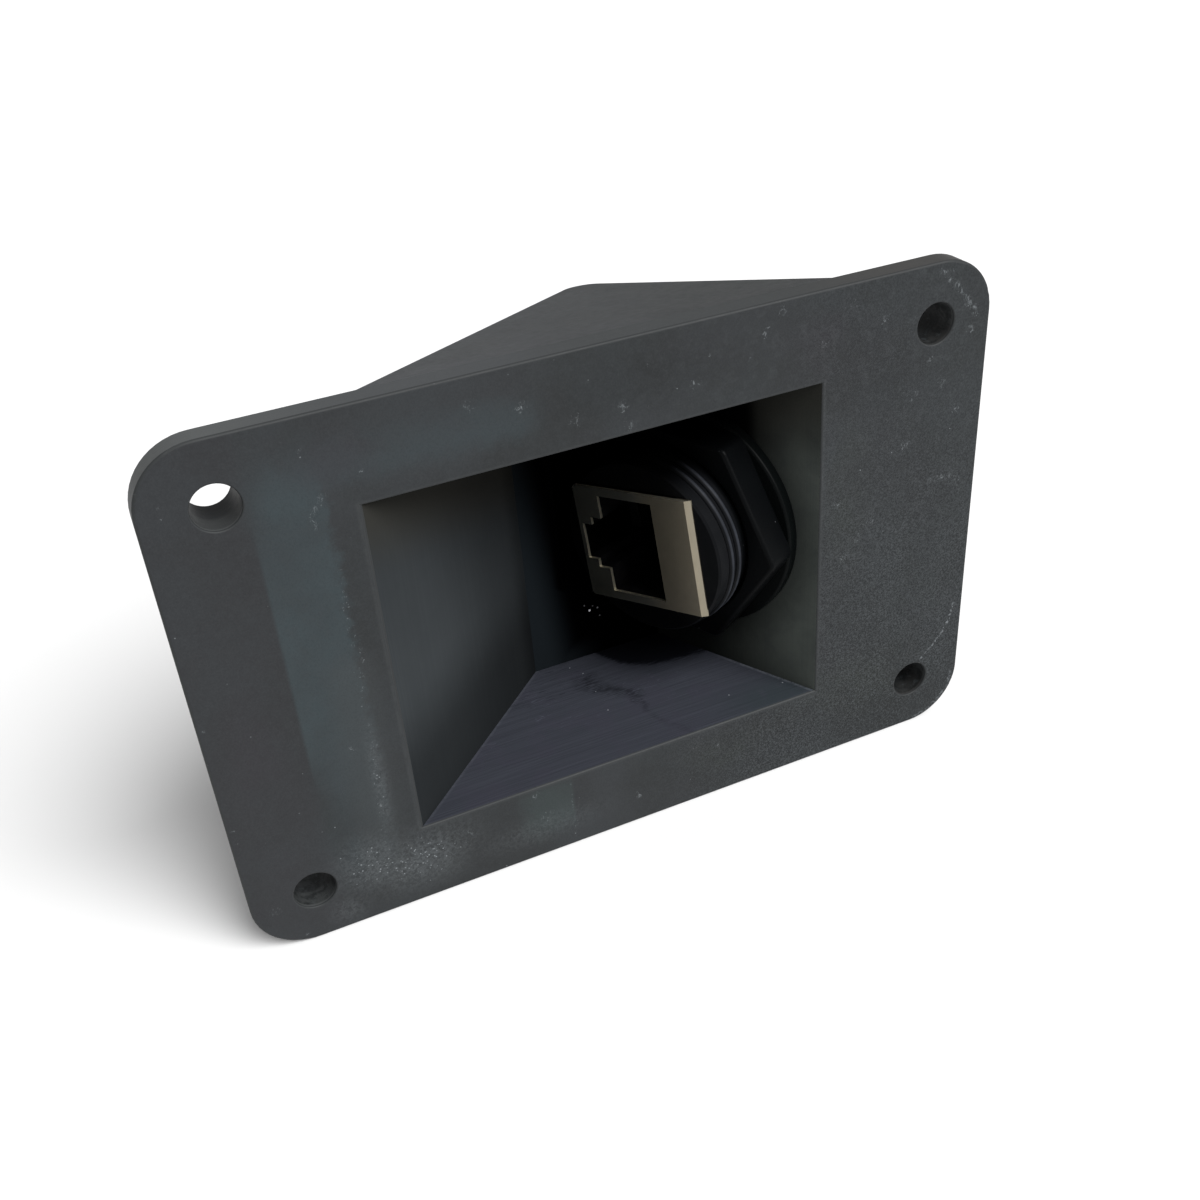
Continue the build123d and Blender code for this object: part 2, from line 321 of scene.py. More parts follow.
    # pale scuffs and dust, gathered where the part has been rubbed
    gaps = g.noise(2.4, 1, 0.5, 0, (6, 1, 1))
    broken = g.ramp(gaps, 0.44, 0.60, 0.35, 1.0)
    dotted = g.ramp(gaps, 0.36, 0.54, 0.5, 1.0)
    where = g.most(
        g.times(g.near(((19.2, 29.0), (9.3, 23.4), (-9.1, 25.6), (-3.7, 22.9), (2.0, 20.9), (1.3, 23.0), (24.2, 24.1), (-14.1, 27.1),
                        (17.2, 27.1), (31.4, 25.2), (37.6, 19.4), (39.3, 16.2), (41.5, 12.8), (36.0, 15.8), (26.3, 5.1), (29.3, -0.1),
                        (27.5, -2.6), (27.3, 27.6), (42.5, 21.8), (34.9, 9.7), (-12.4, -21.0), (-20.3, -22.8), (0.1, -26.4),
                        (-11.3, -24.4), (-31.1, -7.0), (-42.5, -24.3), (30.8, 1.7), (39.4, 28.5)), 1.9, 0.1), 0.93),
        g.times(g.near(((4.2, 26.7), (11.0, 26.2), (4.3, 22.4), (15.5, 24.6), (10.7, -22.9), (-42.7, 24.7), (-42.7, 23.7), (-44.3, 0.8),
                        (-44.4, -12.0), (-44.2, -13.7), (41.0, 4.4), (30.7, -2.2), (35.5, 15.2), (-7.8, -26.6), (7.5, -22.4), (42.6, 7.0),
                        (-24.8, 23.4), (-30.0, 26.7), (31.6, 24.2), (-39.9, -29.0)), 0.65, 0.05), 0.97),
        g.times(g.trail(((38.4, 28.8), (41.0, 26.4), (42.9, 23.6)), 1.3, 0.1), 1.0),
        g.times(g.trail(((38.4, 4.6), (40.4, 4.6), (42.6, 3.6)), 1.1, 0.1), 0.92),
        g.times(g.trail(((43.6, -13.7), (43.2, -16.0), (42.3, -17.6), (41.1, -19.0), (39.3, -20.7)), 0.42, 0.05), dotted, 1.3),
        g.times(g.trail(((44.2, -24.3), (43.8, -26.5), (42.6, -27.9), (41.2, -29.0), (39.0, -29.6)), 0.60, 0.1), dotted, 1.2),
        g.times(g.spot(34.5, 16.5, 4.5, 4.0, 0, 0.9), 0.62), g.times(g.spot(35.5, -8.0, 4.5, 9.0, 0, 0.9), 0.58),
        g.times(g.spot(34.0, -28.0, 5.0, 1.2, 8, 0.9), 0.72), g.times(g.spot(14.0, 26.0, 12.0, 3.0, 6, 0.9), 0.52),
        g.times(g.trail(((-28.6, 13.7), (-28.7, 7.4), (-28.3, 4.0), (-29.0, -1.2), (-28.9, -6.3), (-29.3, -12.0), (-29.6, -20.0)), 1.2, 0.1), broken, 0.92),
        g.times(g.trail(((-28.8, 21.9), (-29.9, 20.4), (-29.9, 18.9)), 0.95, 0.1), 0.92),
        g.times(g.trail(((-8.1, -20.6), (-8.1, -29.0)), 0.40, 0.05), broken, 0.95), g.times(g.spot(-20.0, -25.2, 6.0, 3.0, 0, 0.9), 0.62),
    )
    streak = g.noise((2.6, 1, 1.0), 4, 0.75, 1.2, (1, 4, 8))
    flecks = g.noise(2.3, 4, 0.72, 0.8, (11, 2, 6))
    ground = g.add(0.06, g.times(g.ramp(cloud2, 0.5, 0.75), g.ramp(g.x, 6, 30), 0.36), g.times(g.ramp(cloud, 0.5, 0.7), 0.12))
    amount = g.most(where, ground)
    scuff = g.ramp(g.f("SUBTRACT", g.most(g.times(streak, 0.98), flecks), g.f("MULTIPLY_ADD", amount, -0.29, 0.80)), 0.0, 0.17)
    speck = g.ramp(g.cells(0.75, "F1", (4, 8, 2)), 0.075, 0.045)
    speck = g.times(speck, g.ramp(g.noise(0.35, 1, 0.5, 0, (9, 9, 1)), 0.60, 0.68))
    # fine white specks, thick in the lower left corner and thinning out along the bottom
    dots = g.ramp(g.cells(2.5, "F1", (4, 8, 2)), 0.30, 0.16)
    area = g.most(g.spot(-26.0, -24.0, 10.0, 6.5, 8, 1.0), g.times(g.spot(-31.5, -22.5, 6.5, 6.5, 0, 1.0), 0.95), g.times(g.spot(-35.0, -27.5, 3.5, 3.0, 0, 1.0), 0.65),
                  g.times(g.spot(-12, -26.0, 12.0, 3.2, 0, 1.0), 0.55), g.times(g.spot(-29.0, -12.0, 1.5, 12.0, 0, 1.0), 0.7))
    glitter = g.times(dots, g.ramp(g.f("SUBTRACT", g.noise(1.6, 2, 0.7, 0, (5, 2, 2)), g.f("MULTIPLY_ADD", area, -0.42, 0.80)), 0.0, 0.10))
    haze = g.times(area, g.ramp(flecks, 0.35, 0.65), 0.16)
    mottle = g.times(g.ramp(g.noise(0.8, 3, 0.6, 0.6, (3, 3, 7)), 0.50, 0.68), g.ramp(g.x, -16, 24), g.ramp(g.z, -22, -8), 0.022)
    marks = g.most(g.times(scuff, SCUFF), g.times(speck, SPECK), g.times(glitter, 0.62), haze, mottle)
    face = g.mix(marks, base, lin(126, 131, 134))
    face = g.mix(g.times(g.spot(37, -27, 14, 7, 0, 0.9), 0.22), face, lin(22, 24, 24))
    # a broken painted highlight along the rim of the opening
    rim = g.f("MAXIMUM", g.f("SUBTRACT", g.f("ABSOLUTE", g.f("ADD", g.x, 0.715)), 24.9), g.f("SUBTRACT", g.f("ABSOLUTE", g.z), 19.9))
    face = g.mix(g.times(g.ramp(g.f("ABSOLUTE", g.f("SUBTRACT", rim, 0.2)), 0.30, 0.0), g.ramp(ragged, 0.3, 0.6, 0.05, 0.4)), face, lin(*RIM_HIGHLIGHT))

    rough = g.add(0.50, g.times(fine, 0.16), g.times(scuff, 0.12), g.times(g.most(band, top), -0.05))
    height = g.add(g.times(grain, right, 0.070), g.times(fine, 0.012))
    return g.finish(face, rough, g.bump(height, 0.55))


def printed_sides():
    """Edges, roof, outer walls and back of the housing, with the print layers."""
    g = Mat("printed_charcoal", rough=0.6, spec=OUT_SPEC)
    wall = g.ramp(g.f("ABSOLUTE", g.ny), 0.97, 0.9)
    cloud = g.noise(0.05, 3, 0.55, 0.6)
    cloud2 = g.noise(0.22, 3, 0.6, 0.4, (7, 3, 1))
    fine = g.noise(1.3, 2, 0.6, 0.0, (3, 1, 9))
    flecks = g.noise(2.3, 4, 0.72, 0.8, (11, 2, 6))
    step, lines, lines2 = layers(g)
    side = g.mix(g.ramp(cloud, 0.3, 0.7), lin(*SIDE_A), lin(*SIDE_B))
    side = g.mix(g.times(g.ramp(lines, 0.45, 0.7), 0.16), side, lin(*SIDE_HI))
    side = g.mix(g.times(g.ramp(g.x, -14, 24), g.ramp(g.nz, 0.2, 0.6), 0.9), side, lin(35, 37, 38))
    side = g.mix(g.times(g.ramp(g.x, -2, -24), g.ramp(g.nz, 0.2, 0.6), 0.50), side, lin(56, 58, 60))
    bare = g.f("SUBTRACT", 1.0, g.times(g.ramp(g.x, -41, -22), g.ramp(g.nz, 0.2, 0.6), 0.66))
    side = g.mix(g.times(g.ramp(g.y, 0.4, -0.2), bare, 0.75), side, lin(*EDGE_COL))
    side = g.mix(g.times(g.ramp(g.y, 0.4, -0.2), g.ramp(g.x, 18, 34), g.ramp(g.nz, 0.2, 0.6), 0.8), side, lin(52, 51, 50))
    side = g.mix(g.times(g.ramp(g.y, -2.17, -2.30), 0.90), side, lin(35, 37, 38))
    lip = g.times(g.ramp(g.f("ABSOLUTE", g.x), 27.0, 26.5), g.ramp(g.f("ABSOLUTE", g.z), 21.5, 21.0), g.ramp(g.y, -2.0, -2.15))
    side = g.mix(g.times(lip, 0.9), side, lin(42, 44, 45))
    side = g.mix(g.times(g.ramp(flecks, 0.66, 0.74), 0.25), side, lin(110, 112, 114))
    # painted shade inside the shut-in screw holes, with painted highlights mottling all but the top left one
    hx = g.f("SUBTRACT", g.f("ABSOLUTE", g.x), 38.0)
    hz = g.f("SUBTRACT", g.f("ABSOLUTE", g.z), 23.3)
    hr = g.f("SQRT", g.add(g.times(hx, hx), g.times(hz, hz)))
    hole_shade = g.times(g.ramp(hr, 2.75, 2.4), g.ramp(g.y, -2.3, -1.9), g.ramp(g.y, 3.4, 3.0))
    first = g.times(g.ramp(g.x, -30, -34), g.ramp(g.z, 10, 16))
    hole_shade_spots = g.ramp(g.noise(0.9, 3, 0.65, 0.4, (5, 2, 6)), 0.36, 0.60, 0.88, 0.56)
    side = g.mix(g.times(hole_shade, g.lerp(first, hole_shade_spots, 0.60)), side, lin(12, 15, 16))
    # painted highlights mottle the inside of the other holes
    side = g.mix(g.times(hole_shade, g.f("SUBTRACT", 1.0, first), g.ramp(g.noise(1.7, 3, 0.7, 0.3, (2, 7, 3)), 0.56, 0.68), 0.30), side, lin(66, 72, 74))
    rough = g.add(0.44, g.times(fine, 0.14), g.times(cloud2, 0.1))
    h_side = g.add(g.times(step, 0.020), g.times(lines, 0.022), g.times(lines2, 0.012))
    height = g.lerp(wall, g.times(fine, 0.03), h_side)
    return g.finish(side, rough, g.bump(height, 0.45))


def printed_recess():
    """The inside of the recess: shut in, with painted shade that darkens it the deeper it goes."""
    g = Mat("printed_charcoal_recess", rough=0.6, spec=IN_SPEC)
    floor = g.ramp(g.nz, 0.85, 0.95)
    back = g.times(g.ramp(g.ny, -0.9, -0.97), g.ramp(g.y, 10, 12))
    left = g.ramp(g.nx, 0.2, 0.4)
    cloud = g.noise(0.06, 3, 0.55, 0.6)
    cloud2 = g.noise(0.24, 4, 0.6, 0.4, (7, 3, 1))
    fine = g.noise(1.3, 3, 0.6, 0.0, (3, 1, 9))
    step, lines, lines2 = layers(g)
    u, v, w = along(g, U), along(g, V), along(g, W)
    ring = g.f("SQRT", g.add(g.times(u, u), g.times(v, v)))
    # near-black used for painted shade and painted shadow
    black = (0.0002, 0.0002, 0.0003, 1)
    wall = g.mix(left, lin(*WALL_R), lin(*WALL_L))
    wall = g.mix(g.times(g.ramp(lines, 0.4, 0.7), 0.16), wall, lin(*WALL_HI))
    wall = g.mix(g.times(g.ramp(cloud2, 0.4, 0.65), 0.25), wall, lin(*WALL_LO))
    # a warm painted shade band under the ceiling
    wall = g.mix(g.times(g.ramp(g.add(g.z, g.times(g.y, 0.5)), 10, 18), 0.8), wall, lin(*WALL_CEILING_SHADE))
    # painted shade on the left wall: light falls off to the back, to the foot and under the ceiling
    up = g.times(g.ramp(g.add(g.z, g.times(g.y, 0.5)), 8.5, 18.5, 1.0, UP_K), g.ramp(g.add(g.z, g.times(g.y, 0.5)), -4, 12, 1.0, 0.84))
    foot = g.ramp(g.z, -14, -2, FOOT_K, 1.0)
    deep = g.times(g.ramp(g.y, 3, 14, 1.0, DEEP_K), g.ramp(g.y, 15.5, 18.0, 1.0, 0.65))
    left_k = g.times(up, foot, deep)
    # painted shade on the right wall: brightest at the rim, dark around the ring and up in the corner
    deep_r = g.times(g.ramp(g.y, -1.0, 8.0, 1.0, 0.42), g.ramp(g.y, 5.0, 12.0, 1.0, 0.25))
    ring_r = g.ramp(ring, 14.2, 19.0, 0.55, 1.0)
    top_r = g.times(g.ramp(g.z, 7, 14, 1.0, 0.58), g.lerp(g.ramp(g.z, 7, 10), 1.0, g.ramp(g.y, 4.3, 6.0, 1.0, 0.12)))
    right_k = g.times(deep_r, ring_r, top_r)
    # painted shade: the nut's relief pocket goes black
    pocket = g.f("SUBTRACT", 1.0, g.times(g.ramp(ring, 15.4, 15.0), g.ramp(g.y, 14.5, 16.0), g.ramp(w, 12.2, 11.2)))
    wall = g.mix(g.times(g.lerp(left, right_k, left_k), pocket), black, wall)
    # the back wall goes on from the left wall, with painted shade that turns it black towards the coupler
    bk = g.ramp(g.add(g.x, g.times(g.z, 0.13)), 0.4, -4.6)
    bk = g.times(bk, g.ramp(g.z, 10, -8, 0.85, 1.0), pocket)
    low = g.times(g.ramp(g.z, -16.5, -19.5), g.ramp(g.x, 6.0, 0.0), 0.6)
    wall = g.mix(back, wall, g.mix(g.most(bk, low), black, lin(*BACK_LOW)))
    # painted glints: a few tiny near-white specks low on the back wall
    for sx, sz, sr, sk in ((4.04, -13.33, 0.20, 1.0), (5.14, -13.26, 0.15, 0.30), (3.40, -12.40, 0.13, 0.15), (5.35, -14.50, 0.13, 0.15), (4.50, -12.80, 0.12, 0.12)):
        d = g.f("SQRT", g.add(g.f("POWER", g.f("ABSOLUTE", g.f("SUBTRACT", g.x, sx)), 2.0), g.f("POWER", g.f("ABSOLUTE", g.f("SUBTRACT", g.z, sz)), 2.0)))
        wall = g.mix(g.times(g.ramp(d, sr, sr * 0.5), back, sk), wall, lin(250, 250, 255))

    # floor: bluish, faint straight lines, a broken dark smear, dull patches and the odd white fleck
    mixl = g.add(g.times(lines, 0.5), g.times(lines2, 0.5))
    fl = g.mix(g.ramp(mixl, 0.30, 0.70), lin(*FLOOR_LO), lin(*FLOOR_HI))
    fl = g.mix(g.times(g.ramp(cloud2, 0.45, 0.62), 0.35), fl, lin(*FLOOR_V))
    fl = g.mix(g.times(g.ramp(g.x, 9, 19), g.ramp(g.y, 6, -1), g.ramp(cloud2, 0.3, 0.55), 0.55), fl, lin(*FLOOR_G))
    thin = g.ramp(g.noise((0.05, 7.0, 1), 1, 0.5, 0.0, (6, 1, 4)), 0.33, 0.27)
    fl = g.mix(g.times(thin, g.ramp(g.noise((0.12, 0.5, 1), 2, 0.5, 0, (9, 3, 1)), 0.42, 0.6), 0.45), fl, lin(26, 28, 33))
    hatch = g.ramp(g.noise((0.55, 8.5, 1), 2, 0.6, 0.0, (2, 7, 4)), 0.42, 0.30)
    hatch_at = g.times(g.ramp(g.y, 8.5, 12.0), g.ramp(g.x, 7.5, 3.0), g.ramp(g.noise((0.3, 0.4, 1), 2, 0.5, 0, (4, 4, 1)), 0.35, 0.55))
    fl = g.mix(g.times(hatch, hatch_at, 0.6), fl, lin(18, 20, 26))
    # smear: a path across the floor, given as x for each y
    n = g.t.nodes.new("ShaderNodeFloatCurve")
    c = n.mapping.curves[0]
    path = ((-2.0, 7.6), (-0.8, 6.9), (0.9, 5.8), (3.1, 4.9), (6.0, 4.9), (8.2, 4.5), (9.6, 3.2), (10.8, 1.7), (12.4, 0.9), (14.2, 1.2), (16.0, 1.6))
    pts = [((y + 2) / 20, x / 10) for y, x in path]
    c.points[0].location, c.points[1].location = pts[0], pts[-1]
    for q in pts[1:-1]:
        c.points.new(*q)
    n.mapping.update()
    g.put(n.inputs["Value"], g.times(g.add(g.y, 2.0), 0.05))
    off = g.f("SUBTRACT", g.x, g.times(n.outputs[0], 10.0))
    off = g.add(off, g.f("MULTIPLY_ADD", g.noise((0.55, 0.9, 1), 3, 0.65, 0.5, (1, 5, 7)), 2.4, -1.2))
    wide = g.ramp(g.y, 5, 10, 0.8, 2.4)
    smear = g.times(g.ramp(g.f("DIVIDE", g.f("ABSOLUTE", off), wide), 1.0, 0.1), g.ramp(g.y, 0.5, 10, 0.25, 1.0), g.ramp(g.y, 15.0, 13.5))
    smear = g.times(smear, g.ramp(g.noise((0.7, 5.5, 1), 3, 0.65, 0, (3, 1, 2)), 0.36, 0.60))
    fl = g.mix(g.times(smear, 0.64), fl, lin(*FLOOR_SM))
    fleck = g.times(g.ramp(g.cells(0.45, "F1", (1, 6, 3)), 0.045, 0.03), g.ramp(g.noise(0.5, 1, 0.5, 0, (6, 2, 2)), 0.58, 0.64))
    for fx, fy in ((0.16, 16.6), (0.77, 6.41), (14.75, 1.86), (21.6, 0.84), (1.15, 14.7)):
        d = g.f("SQRT", g.add(g.f("POWER", g.f("SUBTRACT", g.x, fx), 2.0), g.f("POWER", g.f("SUBTRACT", g.y, fy), 2.0)))
        fleck = g.most(fleck, g.ramp(d, 0.12, 0.04))
    scratch = g.ramp(g.f("ABSOLUTE", g.f("SUBTRACT", g.noise((0.16, 1.2, 1), 2, 0.5, 0.6, (3, 5, 5)), 0.5)), 0.008, 0.0)
    fl = g.mix(g.times(scratch, g.ramp(g.y, 2, 10), g.ramp(cloud2, 0.4, 0.6), 0.35), fl, lin(80, 84, 94))
    # thin light lines where the floor meets the walls, and a painted highlight along its front rim
    joint = g.add(g.times(g.x, 0.6868), g.times(g.y, -0.727), 15.76)
    seam = g.most(g.times(g.ramp(w, 0.50, 0.18), g.ramp(g.y, 11, 6)), g.times(g.ramp(joint, 0.42, 0.15), 0.35), g.times(g.ramp(g.y, -2.05, -2.25), 0.2))
    fl = g.mix(g.times(seam, g.ramp(g.noise((1.5, 1.5, 1), 3, 0.7, 0, (1, 3, 2)), 0.35, 0.6, 0.25, 1.0), 0.55), fl, lin(84, 88, 94))
    # painted shadow under the coupler: black, with an edge broken up by the print lines and a dim fringe
    edge = g.f("MULTIPLY_ADD", g.f("POWER", 0.6807, g.f("SUBTRACT", g.x, 4.4)), 6.3, 11.55)
    past = g.add(g.f("SUBTRACT", g.y, edge), g.f("MULTIPLY_ADD", g.noise((0.45, 7.5, 1), 3, 0.7, 0, (5, 9, 1)), 3.6, -1.8))
    fl = g.mix(g.ramp(past, -0.7, 0.35), fl, black)
    fl = g.mix(g.times(g.ramp(past, -3.2, 0.0), 0.35), fl, lin(26, 28, 34))
    fl = g.mix(g.times(fleck, 0.36), fl, lin(176, 180, 186))
    colour = g.mix(floor, wall, fl)
    rough = g.add(0.46, g.times(fine, 0.14), g.times(cloud2, 0.1))
    height = g.add(g.times(step, 0.010), g.times(g.add(lines, g.times(lines2, 0.6)), g.lerp(floor, 0.012, 0.026)))
    return g.finish(colour, rough, g.bump(height, 0.5))


def black_nylon():
    g = Mat("moulded_black", rough=0.42, spec=BLACK_SPEC)
    u, v, w = along(g, U), along(g, V), along(g, W)
    r = g.f("SQRT", g.add(g.times(u, u), g.times(v, v)))
    a = g.noise(0.35, 4, 0.6, 0.5)
    b = g.noise(3.5, 3, 0.6, 0.0, (3, 3, 3))
    dust = g.times(g.ramp(g.cells(0.8, "F1", (2, 5, 1)), 0.07, 0.045), g.ramp(g.noise(0.4, 1, 0.5, 0, (1, 7, 3)), 0.52, 0.64))
    col = g.mix(g.ramp(w, 5.5, 5.8), lin(*NUT_COL), lin(*BARREL_COL))
    col = g.mix(g.ramp(w, 1.55, 1.4), col, lin(*RING_COL))
    # painted highlight on the crests of the thread
    col = g.mix(g.times(g.band(w, 5.7, 5.9, 9.4, 9.6), g.ramp(r, 10.84, 10.95)), col, lin(*CREST_HIGHLIGHT))
    col = g.mix(g.ramp(a, 0.35, 0.65, 0.0, 0.3), col, lin(5, 6, 7))
    # painted shade: the side turned to the room keeps its colour, the deep side is painted black
    far = g.f("MAXIMUM", g.f("SUBTRACT", g.f("ABSOLUTE", v), 5.0), 0.0)
    shown = g.most(g.ramp(g.f("MULTIPLY_ADD", far, -0.35, u), 2.4, 8.0), g.ramp(w, -1.0, -3.0))
    col = g.mix(shown, (0.0002, 0.0002, 0.0003, 1), col)
    col = g.mix(g.times(dust, 0.25), col, lin(110, 112, 114))
    rough = g.add(0.30, g.times(a, 0.16), g.times(b, 0.08))
    return g.finish(col, rough, g.bump(g.add(g.times(b, 0.012), g.times(a, 0.03)), 0.6))


def rubber():
    g = Mat("seal_rubber", rough=0.75)
    a = g.noise(1.6, 4, 0.65)
    col = g.mix(g.ramp(a, 0.35, 0.7), lin(20, 20, 21), lin(36, 36, 37))
    return g.finish(col, g.add(0.66, g.times(a, 0.2)), g.bump(g.times(a, 0.03), 0.6))


def insert_black():
    g = Mat("insert_moulding", rough=0.5, spec=0.08)
    a = g.noise(1.1, 4, 0.6)
    col = g.mix(g.ramp(a, 0.3, 0.7), lin(3, 3, 4), lin(9, 9, 10))
    return g.finish(col, g.add(0.42, g.times(a, 0.2)), g.bump(g.times(a, 0.02), 0.5))


def nickel():
    g = Mat("nickel_sheet", rough=0.34, metallic=1.0)
    u, v, w = along(g, U), along(g, V), along(g, W)
    tn = g.t.nodes["Geometry"].outputs["True Normal"]
    nu = g.vec("DOT_PRODUCT", tn, tuple(U))
    nv = g.vec("DOT_PRODUCT", tn, tuple(V))
    # rolled grain runs along the long side of the face
    grain = g.noise((3.0, 3.0, 0.35), 4, 0.65, 0.1, (1, 2, 3))
    mott = g.noise(0.42, 3, 0.55, 0.5, (4, 1, 7))
    tiny = g.noise(7.0, 2, 0.5, 0, (2, 6, 2))
    # painted reflection: the face brightens towards the fold
    col = g.mix(g.ramp(g.add(u, g.times(v, -0.12)), 3.0, 8.6), lin(*NI_A), lin(*NI_B))
    col = g.mix(g.times(g.ramp(grain, 0.5, 0.75), 0.22), col, lin(*NI_C))
    col = g.mix(g.times(g.ramp(mott, 0.4, 0.7), 0.22), col, lin(*NI_C))
    # painted shade towards the deep side, bare on the fold and on the cut edges
    deep_shade = g.times(g.ramp(u, 3.2, -0.5, 0.0, 1.0), g.ramp(nu, 0.35, 0.2), g.ramp(w, -4, -2))
    low = g.ramp(g.add(g.times(v, -1.0), g.times(u, 0.35)), -8.0, 6.5)
    col = g.mix(deep_shade, col, g.mix(g.add(g.times(low, 0.85), g.times(g.ramp(mott, 0.3, 0.7), 0.15)), lin(*NI_D), lin(*NI_E)))
    front = g.ramp(w, 10.1, 10.3)
    col = g.mix(g.times(g.ramp(nu, 0.25, 0.5), front, g.ramp(u, 7.60, 8.05)), col, lin(*NI_FOLD))
    cut = g.times(g.most(g.times(g.ramp(nu, 0.25, 0.5), g.ramp(u, 6.5, 6.0)), g.ramp(nv, 0.4, 0.6)), g.ramp(w, 10.36, 10.44))
    col = g.mix(cut, col, lin(*NI_CUT))
    inner = g.times(g.f("SUBTRACT", 1.0, cut), g.most(g.ramp(w, 10.15, 10.0), g.times(g.ramp(w, 10.44, 10.36), g.ramp(u, 6.5, 6.0))), g.ramp(w, -4, -2))
    col = g.mix(inner, col, lin(*NI_IN))
    rough = g.add(0.26, g.times(mott, 0.12), g.times(grain, 0.10))
    return g.finish(col, rough, g.bump(g.add(g.times(grain, 0.008), g.times(tiny, 0.005), g.times(mott, 0.012)), 0.4))


def gold():
    g = Mat("gold_plate", rough=0.28, metallic=1.0)
    a = g.noise((2, 2, 2), 4, 0.6)
    front_row_shade = g.ramp(along(g, W), -4, -2)
    col = g.mix(g.ramp(a, 0.3, 0.7), lin(226, 178, 96), lin(238, 200, 122))
    # painted shade darkens the front row of contacts, deep inside the jack
    col = g.mix(g.times(front_row_shade, 0.93), col, lin(30, 22, 12))
    return g.finish(col, g.add(0.2, g.times(a, 0.16)), g.bump(g.times(a, 0.01), 0.4))


def board():
    g = Mat("board_laminate", rough=0.45)
    a = g.noise((1.2, 1.2, 1.2), 4, 0.6)
    col = g.mix(g.ramp(a, 0.3, 0.7), lin(20, 74, 40), lin(30, 96, 54))
    return g.finish(col, g.add(0.36, g.times(a, 0.14)), g.bump(g.times(a, 0.01), 0.4))


MATS = {"printed_plastic": printed_sides(), "black_nylon": black_nylon(), "rubber": rubber(), "nickel": nickel(),
        "insert_black": insert_black(), "contact_gold": gold(), "board_green": board()}
RECESS, FRONT = printed_recess(), printed_front()
for sub in frame["record"]["subparts"]:
    o = nodes[sub["node"]]
    o.data.materials.clear()
    o.data.materials.append(MATS[sub["material_slot"]])
    for poly in o.data.polygons:
        poly.material_index = 0

# the recess and the flange's front face take materials of their own
housing = nodes["recess_housing"]
housing.data.materials.append(RECESS)
housing.data.materials.append(FRONT)
turn = housing.matrix_world.to_3x3()
for poly in housing.data.polygons:
    c = (housing.matrix_world @ poly.center) * 1000
    if c.y < -2.47 and (turn @ poly.normal).normalized().y < -0.97:
        poly.material_index = 2
    if abs(c.z) < 19.95 and -25.7 < c.x < 24.3 and c.y > -2.2:
        # points of the recess lie in front of its slanted walls, its flat back and the nut's relief
        d = (c - BASE * 1000)
        w, radial = d.dot(W), (d - W * d.dot(W)).length
        in_left = (c.x + 25.6) / 21.7 * 20.5 - 2.5 > c.y - 0.3
        in_right = w > -0.3
        if in_left and in_right and (c.y < 18.3 or radial < 15.0):
            poly.material_index = 1


def mesh_object(name, verts, faces, material, smooth=True):
    me = bpy.data.meshes.new(name)
    me.from_pydata([tuple(v) for v in verts], [], faces)
    me.validate()
    me.update()
    if smooth:
        me.shade_smooth()
    o = bpy.data.objects.new(name, me)
    scene.collection.objects.link(o)
    o.data.materials.append(material)
    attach(o, "root")
    return o


def thread(name, w0, w1, r_in, r_out, pitch, half_root, half_crest, turn=0.0):
    """A helical ridge on the barrel, faded in and out over a quarter turn."""
    per = 72
    n = int((w1 - w0) / pitch * per)
    prof = [(-half_root, 0.0), (-half_root * 0.6, 0.5), (-half_crest, 0.93), (0, 1.0), (half_crest, 0.93),
            (half_root * 0.6, 0.5), (half_root, 0.0)]
    verts, faces = [], []
    for i in range(n + 1):
        a = turn + 2 * math.pi * i / per
        w = w0 + pitch * i / per
        fade = min(1.0, i / (per * 0.25), (n - i) / (per * 0.25))
        for dw, h in prof:
            r = r_in + (r_out - r_in) * (0.05 + 0.95 * h * max(fade, 0.02))
            verts.append(local(r * math.cos(a), r * math.sin(a), w + dw))
    k = len(prof)
    for i in range(n):
        for j in range(k):
            p, q = i * k + j, i * k + (j + 1) % k
            faces.append((p, p + k, q + k, q))
    faces.append(tuple(range(k - 1, -1, -1)))
    faces.append(tuple(n * k + j for j in range(k)))
    o = mesh_object(name, verts, faces, MATS["black_nylon"])
    bm = bmesh.new()
    bm.from_mesh(o.data)
    bmesh.ops.recalc_face_normals(bm, faces=bm.faces)
    bm.to_mesh(o.data)
    bm.free()
    return o


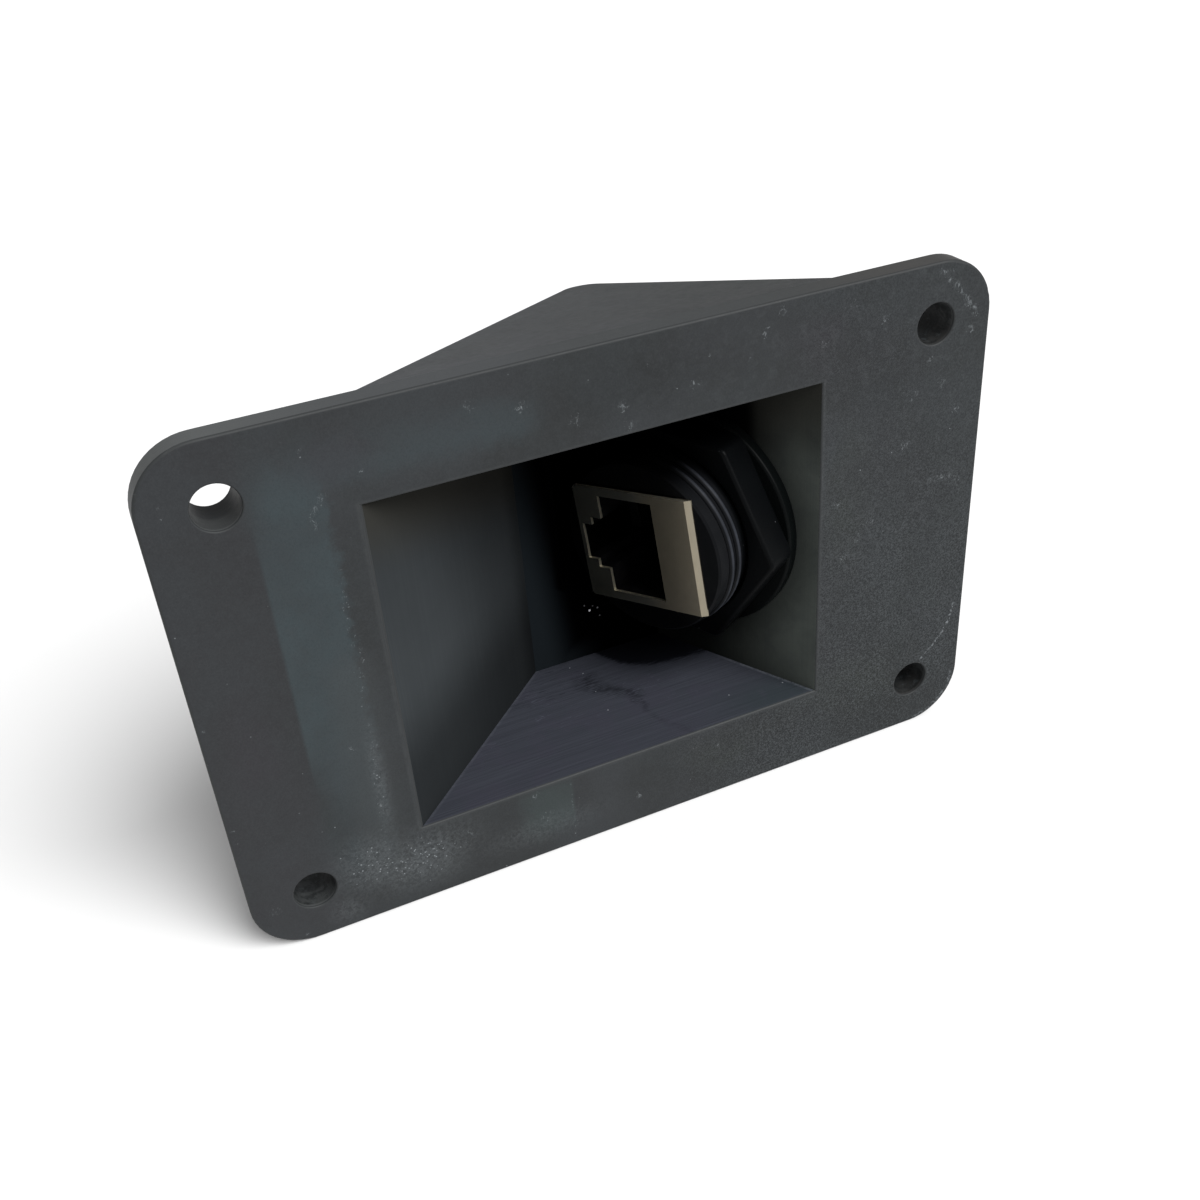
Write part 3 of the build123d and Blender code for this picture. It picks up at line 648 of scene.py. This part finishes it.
thread("front_barrel_thread", 5.95, 9.15, 10.57, 11.0, 1.4, 0.56, 0.12, math.radians(200))
thread("rear_barrel_thread", -22.6, -12.9, 10.57, 11.0, 1.4, 0.56, 0.12)

# ---------------------------------------------------------------- stage
def floor_material():
    g = Mat("pale_floor", rough=0.9)
    a = g.noise(0.012, 2, 0.5)
    return g.finish(g.mix(g.ramp(a, 0.3, 0.7), (0.672, 0.672, 0.672, 1), (0.680, 0.680, 0.680, 1)), 0.92)


fl = bpy.data.meshes.new("studio_floor")
s = 6.0
fl.from_pydata([(-s, -s, -0.03002), (s, -s, -0.03002), (s, s, -0.03002), (-s, s, -0.03002)], [], [(0, 1, 2, 3)])
floor = bpy.data.objects.new("studio_floor", fl)
scene.collection.objects.link(floor)
floor.data.materials.append(floor_material())

# ---------------------------------------------------------------- light
world = bpy.data.worlds.new("studio")
scene.world = world
world.use_nodes = True
bg = world.node_tree.nodes["Background"]
bg.inputs["Color"].default_value = (1.0, 1.0, 1.0, 1)
bg.inputs["Strength"].default_value = WORLD


def sun(name, direction, strength, angle, colour=(1, 1, 1)):
    d = bpy.data.lights.new(name, "SUN")
    d.energy = strength
    d.angle = math.radians(angle)
    d.color = colour
    o = bpy.data.objects.new(name, d)
    scene.collection.objects.link(o)
    o.rotation_mode = "QUATERNION"
    o.rotation_quaternion = Vector(direction).to_track_quat("Z", "Y")
    return o


sun("key", (0.28, -0.62, 0.73), KEY, KEY_ANGLE)
sun("fill", (0.75, -0.45, 0.6), FILL, 50)

# ---------------------------------------------------------------- camera
cam = bpy.data.cameras.new("camera")
cam.sensor_fit = "HORIZONTAL"
cam.sensor_width = 36.0
cam.lens = 39.3635
cam.clip_start, cam.clip_end = 0.01, 20
co = bpy.data.objects.new("camera", cam)
scene.collection.objects.link(co)
m = Matrix(((0.9082153, 0.2777250, -0.3130715), (-0.4128169, 0.4716182, -0.7792037), (-0.0687541, 0.8369260, 0.5429805)))
co.matrix_world = Matrix.Translation((-0.0456584, -0.1094764, 0.0765568)) @ m.to_4x4()
scene.camera = co
scene.view_settings.view_transform = "Standard"
scene.view_settings.look = "None"
